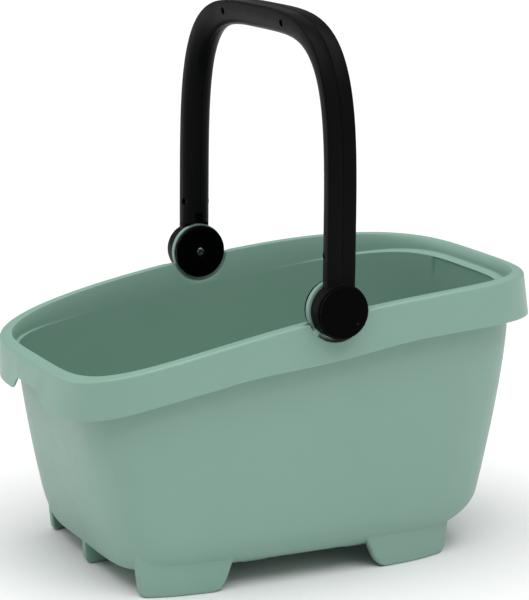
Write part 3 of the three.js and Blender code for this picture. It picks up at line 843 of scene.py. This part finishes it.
def leg_notch(side):
    """A slot in the inner side of a leg, down to its lower end."""
    half_width = LEG_NOTCH["half_width"]
    outline = rounded_box_ring(-half_width, half_width, LEG_NOTCH["depth"], 0.8, 3)
    rings = []
    for z in (LEG_JOINT - 4, LEG_NOTCH["top"]):
        rings.append(np.column_stack([
            PIVOT_X + LEG_NOTCH["offset"] + outline[:, 0],
            side * (HALF_SPAN - GRIP_DEPTH) + outline[:, 1],
            np.full(len(outline), z),
        ]))
    return loft("notch", rings)


def handle_half(name, side):
    """One half of the handle as an open channel with bosses for the screws."""
    hole = HANDLE_SCREW["shank"] + CLEARANCE

    def channel(depth):
        return grip_section(depth) + grip_section(depth, GRIP_WALL)[::-1]

    half = swept(name, channel, side)
    for space in (lug_room, leg_notch):
        cut(half, on_both_sides(space))
    for _, y, z, boss in handle_screw_places():
        join(half, bar_across(y, z, BOSS_RADIUS, side * boss, side * BOSS_FOOT))
        if side < 0:
            seat = HANDLE_SCREW["head_seat"] + CLEARANCE
            cut(half, bar_across(y, z, HANDLE_SCREW["head"] + CLEARANCE, -20, seat))
            cut(half, bar_across(y, z, hole, -20, 0))
        else:
            cut(half, bar_across(y, z, hole, 0, HANDLE_SCREW["end"] + CLEARANCE))
    return smooth(lean(half))


def handle_screw(name, y, z):
    """A small round-headed screw along X with a cross recess."""
    head, shank, face, seat, end = HANDLE_SCREW.values()
    profile = rounded([(0, face), (head - 0.6, face + 0.1), (head, face + 0.8), (head, seat), (shank, seat),
                       (shank, end - 2), (0.4, end), (0, end)], 0.35, 3)
    screw = along_x(name, profile, y, z)
    for angle in (0.5, 0.5 + math.pi / 2):
        along = np.array([0, math.cos(angle), math.sin(angle)]) * 1.6
        across = np.array([0, -math.sin(angle), math.cos(angle)]) * 0.35
        slot = []
        for x, share in ((face - 1, 1), (face, 1), (face + 1.1, 0.5)):
            slot.append(slot_ring(along * share, across, [PIVOT_X + x, y, z]))
        cut(screw, loft("slot", slot))
    return smooth(lean(screw))


def hub_knuckle(name, side):
    """The hub's casting: a drum, the root of the leg and a tongue that goes up inside the handle."""
    half_section = grip_section(GRIP_DEPTH)[3:-3]
    shape = np.array([(-across, out) for across, out in reversed(half_section)] + half_section)
    middle = np.array([0, -GRIP_DEPTH / 2])
    top = LEG_JOINT - SPLIT
    rings = []
    for z, inset in ((PIVOT_Z, 0), (PIVOT_Z + 12, 0), (top - 0.5, 0), (top - 0.15, 0.15), (top, 0.5)):
        across, out = (middle + (shape - middle) * (1 - inset / GRIP_HALF_WIDTH)).T
        rings.append(np.column_stack([PIVOT_X + across, side * (HALF_SPAN + out), np.full(len(out), z)]))
    stub = loft(name, rings)
    cut(stub, lug_room(side))
    drum = rounded([(0, KNUCKLE_IN), (HUB_RADIUS, KNUCKLE_IN), (HUB_RADIUS, KNUCKLE_OUT), (0, KNUCKLE_OUT)],
                   0.9)
    join(stub, turned("drum", drum, side))
    join(stub, tongue(side))
    for radius, start, end in KNUCKLE_BORES:
        cut(stub, plain_bar("bore", radius, start, end, side, 48))
    screw_place = side * (HALF_SPAN - HANDLE_SCREW_DEPTH)
    cut(stub, bar_across(screw_place, LEG_SCREW_HEIGHT, HANDLE_SCREW["shank"] + CLEARANCE, -20, 20))
    return smooth(lean(stub))


def lug_room(side):
    """The round space in the inner side of a leg for the disc and the basket's lug."""
    return turned("room", [(0, 100), (ROOM_RADIUS, 100), (ROOM_RADIUS, KNUCKLE_IN), (0, KNUCKLE_IN)], side)


def tongue(side):
    """The tongue that goes up from a casting inside the handle, with a tapered end."""
    middle = HALF_SPAN - GRIP_WALL - 0.6 - TONGUE_HALF_DEPTH
    rings = []
    for height, inset in ((-1, 0), (TONGUE_LENGTH - 1.5, 0), (TONGUE_LENGTH, 1.2)):
        half_width = TONGUE_HALF_WIDTH - inset
        outline = rounded_box_ring(-half_width, half_width, TONGUE_HALF_DEPTH - inset, 1, 3)
        rings.append(np.column_stack([
            PIVOT_X + outline[:, 0],
            side * middle + outline[:, 1],
            np.full(len(outline), LEG_JOINT + height),
        ]))
    return loft("tongue", rings)


# ---------------------------------------------------------------- materials


def node_tree(name):
    """A new material and the parts that every material here starts from."""
    material = bpy.data.materials.new(name)
    material.use_nodes = True
    nodes = material.node_tree.nodes
    links = material.node_tree.links
    shader = nodes["Principled BSDF"]
    place_of = nodes.new("ShaderNodeTexCoord").outputs["Object"]
    return material, nodes, links, shader, place_of


def noise(nodes, links, place_of, scale, detail=3.0, roughness=0.5):
    """A noise pattern; scale is in waves per metre."""
    node = nodes.new("ShaderNodeTexNoise")
    node.inputs["Scale"].default_value = scale
    node.inputs["Detail"].default_value = detail
    node.inputs["Roughness"].default_value = roughness
    links.new(place_of, node.inputs["Vector"])
    return node.outputs["Fac"]


def spread(nodes, links, source, low, high, start=0.3, end=0.7):
    """Maps a pattern from start..end onto low..high."""
    node = nodes.new("ShaderNodeMapRange")
    node.inputs["From Min"].default_value = start
    node.inputs["From Max"].default_value = end
    node.inputs["To Min"].default_value = low
    node.inputs["To Max"].default_value = high
    links.new(source, node.inputs["Value"])
    return node.outputs["Result"]


def blended(nodes, links, share, first, second):
    """A colour part way between two, by a pattern. Either may be a colour or a socket."""
    node = nodes.new("ShaderNodeMix")
    node.data_type = "RGBA"
    for name, value in (("A", first), ("B", second)):
        socket = [s for s in node.inputs if s.name == name and s.type == "RGBA"][0]
        if isinstance(value, tuple):
            socket.default_value = (*value, 1)
        else:
            links.new(value, socket)
    links.new(share, [s for s in node.inputs if s.name == "Factor" and s.type == "VALUE"][0])
    return [s for s in node.outputs if s.type == "RGBA"][0]


def edge_mask(nodes, links, radius):
    """A pattern that is 1 along sharp edges and 0 elsewhere, and the softened normal behind it. The pattern
    places a painted highlight along the edges.
    """
    bevel = nodes.new("ShaderNodeBevel")
    bevel.samples = 6
    bevel.inputs["Radius"].default_value = radius
    geometry = nodes.new("ShaderNodeNewGeometry")
    dot = nodes.new("ShaderNodeVectorMath")
    dot.operation = "DOT_PRODUCT"
    links.new(bevel.outputs["Normal"], dot.inputs[0])
    links.new(geometry.outputs["Normal"], dot.inputs[1])
    edge_highlight_mask = spread(nodes, links, dot.outputs["Value"], 0.99, 0, 0.8, 1.0)
    return edge_highlight_mask, bevel.outputs["Normal"]


def grain(nodes, links, height, normal, distance, strength):
    """A bump from a height pattern on top of a normal."""
    node = nodes.new("ShaderNodeBump")
    node.inputs["Distance"].default_value = distance
    node.inputs["Strength"].default_value = strength
    links.new(height, node.inputs["Height"])
    if normal is not None:
        links.new(normal, node.inputs["Normal"])
    return node.outputs["Normal"]


def moulded_plastic(name, colour, tint, edge_highlight_and_wear, roughness, edge_radius, fine, bump, specular=0.5):
    """Moulded plastic: slight flow marks in the colour, a fine grain, and a lighter colour along sharp
    edges, which is mostly a painted highlight and partly wear.
    """
    material, nodes, links, shader, place_of = node_tree(name)
    flow = noise(nodes, links, place_of, 7, 4, 0.55)
    speck = noise(nodes, links, place_of, fine, 2)
    scuff = noise(nodes, links, place_of, 55, 5, 0.65)
    edge_highlight_mask, soft_normal = edge_mask(nodes, links, edge_radius)
    body = blended(nodes, links, spread(nodes, links, flow, 0, 1), colour, tint)
    # Sharp edges take the lighter third colour: mostly a painted highlight, partly wear.
    links.new(blended(nodes, links, edge_highlight_mask, body, edge_highlight_and_wear), shader.inputs["Base Color"])
    low, high = roughness
    links.new(spread(nodes, links, scuff, low, high), shader.inputs["Roughness"])
    shader.inputs["Specular IOR Level"].default_value = specular
    links.new(grain(nodes, links, speck, soft_normal, 0.0003, bump), shader.inputs["Normal"])
    return material


def metal(name, colour, tint, roughness, scratch):
    """Turned or plated metal with fine scratches and a slight tint."""
    material, nodes, links, shader, place_of = node_tree(name)
    shader.inputs["Metallic"].default_value = 1
    tone = noise(nodes, links, place_of, 120, 4)
    marks = noise(nodes, links, place_of, scratch, 5, 0.7)
    body = blended(nodes, links, spread(nodes, links, tone, 0, 1), colour, tint)
    links.new(body, shader.inputs["Base Color"])
    low, high = roughness
    links.new(spread(nodes, links, marks, low, high), shader.inputs["Roughness"])
    links.new(grain(nodes, links, marks, None, 0.0001, 0.2), shader.inputs["Normal"])
    return material


def green_polypropylene():
    """The basket: a soft satin green."""
    # The third colour, much lighter, is mostly a painted highlight along sharp edges such as the rim's
    # inner edge, and partly wear.
    return moulded_plastic("green_polypropylene", (0.226, 0.384, 0.312), (0.216, 0.371, 0.301),
                           (0.42, 0.62, 0.53), (0.36, 0.46), 0.0008, 1500, 0.10)


def satin_black_nylon():
    """The handle and the castings: a satin black that reflects very little."""
    # The third colour is mostly a painted highlight along the handle's sharp edges, and partly wear.
    return moulded_plastic("satin_black_nylon", (0.003, 0.0031, 0.0033), (0.0042, 0.0043, 0.0045),
                           (0.022, 0.022, 0.023), (0.30, 0.42), 0.0005, 1800, 0.12, 0.038)


def gloss_black_cap():
    """The caps and discs: a smooth glossy black."""
    # The third colour is a painted glint along the edges of the caps and discs.
    return moulded_plastic("gloss_black_cap", (0.0006, 0.0006, 0.0007), (0.0009, 0.0009, 0.001),
                           (0.05, 0.05, 0.051), (0.09, 0.17), 0.0008, 900, 0.015, 0.025)


def pale_acetal():
    """The bushes: a pale cream plastic."""
    # The third colour is a slight painted highlight along the bushes' edges, and partly wear.
    return moulded_plastic("pale_acetal", (0.68, 0.66, 0.6), (0.64, 0.62, 0.56), (0.72, 0.7, 0.65),
                           (0.35, 0.45), 0.0003, 1500, 0.05)


# ---------------------------------------------------------------- the object


def build_object():
    """Makes every visible piece; the bushes, inserts and washers stay as they are in the CAD model."""
    green = green_polypropylene()
    satin = satin_black_nylon()
    gloss = gloss_black_cap()
    acetal = pale_acetal()
    steel = metal("bright_steel", (0.16, 0.16, 0.165), (0.11, 0.11, 0.115), (0.2, 0.32), 900)
    spring = metal("spring_steel", (0.42, 0.42, 0.43), (0.36, 0.36, 0.37), (0.25, 0.4), 700)
    black_steel = metal("blackened_steel", (0.02, 0.02, 0.021), (0.014, 0.014, 0.015), (0.35, 0.5), 700)
    brass = metal("insert_brass", (0.62, 0.46, 0.21), (0.55, 0.4, 0.17), (0.25, 0.4), 700)

    place(basket_shell(), "basket", "basket_shell", "green_polypropylene", green)
    place(handle_half("handle_front_half", -1), "handle", "handle_front_shell", "satin_black_nylon", satin)
    place(handle_half("handle_rear_half", 1), "handle", "handle_rear_shell", "satin_black_nylon", satin)
    for node, y, z, _ in handle_screw_places():
        screw = handle_screw(node.replace("handle_screw", "grip_screw"), y, z)
        place(screw, "handle", node, "blackened_steel", black_steel)
    for prefix, side in (("near", -1), ("far", 1)):
        casting = hub_knuckle(f"{prefix}_hub_casting", side)
        place(casting, "handle", f"{prefix}_hub_knuckle", "satin_black_nylon", satin)
        for make, name, node, slot, material in (
            (hub_cap, "gloss_cap", "hub_cap", "gloss_black_cap", gloss),
            (inner_disc, "gloss_disc", "inner_disc", "gloss_black_cap", gloss),
            (pivot_screw, "cross_screw", "pivot_screw", "bright_steel", steel),
        ):
            piece = make(side)
            piece.name = f"{prefix}_{name}"
            place(piece, "handle", f"{prefix}_{node}", slot, material)
        for node, material in (
            ("pivot_bush", acetal),
            ("threaded_insert", brass),
            ("friction_washer", spring),
        ):
            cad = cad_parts[f"{prefix}_{node}"]
            cad.data.materials.clear()
            cad.data.materials.append(material)


# ---------------------------------------------------------------- stage, light and camera

FLOOR_REACH = 60000
SURROUND = 0.27                    # strength of the even light from all round
LIGHTS = {                         # strength, direction that it comes from, and its spread in degrees
    "overhead": (2.8, (-0.1, -0.5, 3), 76),
    "front": (0.26, (1.6, -2.6, 1.6), 60),
    "back": (0.5, (-1.9, 1.9, 1.4), 50),
}
CAMERA_PLACE = (-0.9354, -1.9687, 0.6951)
CAMERA_LENS = 148.53
CAMERA_HEADING = math.radians(25.422)    # from +Y towards +X
CAMERA_PITCH = math.radians(12.214)      # downwards


def stage():
    """A plain pale floor with a very light mottle."""
    corners = [(x * FLOOR_REACH, y * FLOOR_REACH, 0) for x, y in ((-1, -1), (1, -1), (1, 1), (-1, 1))]
    floor = mesh_object("floor", corners, [(0, 1, 2, 3)])
    material, nodes, links, shader, place_of = node_tree("pale_floor")
    tone = noise(nodes, links, place_of, 3, 2)
    mottle = blended(nodes, links, tone, (0.87, 0.87, 0.87), (0.89, 0.89, 0.89))
    links.new(mottle, shader.inputs["Base Color"])
    shader.inputs["Roughness"].default_value = 0.9
    floor.data.materials.append(material)


def sky_light(name, strength, direction, degrees):
    """Very soft light from one direction, even over the whole floor."""
    light = bpy.data.lights.new(name, "SUN")
    light.energy = strength
    light.angle = math.radians(degrees)
    lamp = bpy.data.objects.new(name, light)
    lamp.location = direction
    lamp.rotation_euler = (-Vector(direction)).to_track_quat("-Z", "Y").to_euler()
    bpy.context.scene.collection.objects.link(lamp)


def lights():
    """A dim pale surround, soft light from overhead and weaker light from the front and the back.

    The plain view transform keeps the floor white."""
    world = bpy.data.worlds.new("studio")
    world.use_nodes = True
    background = world.node_tree.nodes["Background"]
    background.inputs["Color"].default_value = (1, 1, 1, 1)
    background.inputs["Strength"].default_value = SURROUND
    bpy.context.scene.world = world
    for name, setting in LIGHTS.items():
        sky_light(name, *setting)
    bpy.context.scene.view_settings.view_transform = "Standard"


def camera():
    """The camera's place, direction and lens."""
    data = bpy.data.cameras.new("camera")
    data.sensor_width = 36
    data.lens = CAMERA_LENS
    data.clip_end = 30
    view = bpy.data.objects.new("camera", data)
    view.location = CAMERA_PLACE
    view.rotation_euler = (math.pi / 2 - CAMERA_PITCH, 0, -CAMERA_HEADING)
    bpy.context.scene.collection.objects.link(view)
    bpy.context.scene.camera = view


camera()
lights()
stage()
build_object()
bpy.context.view_layer.update()
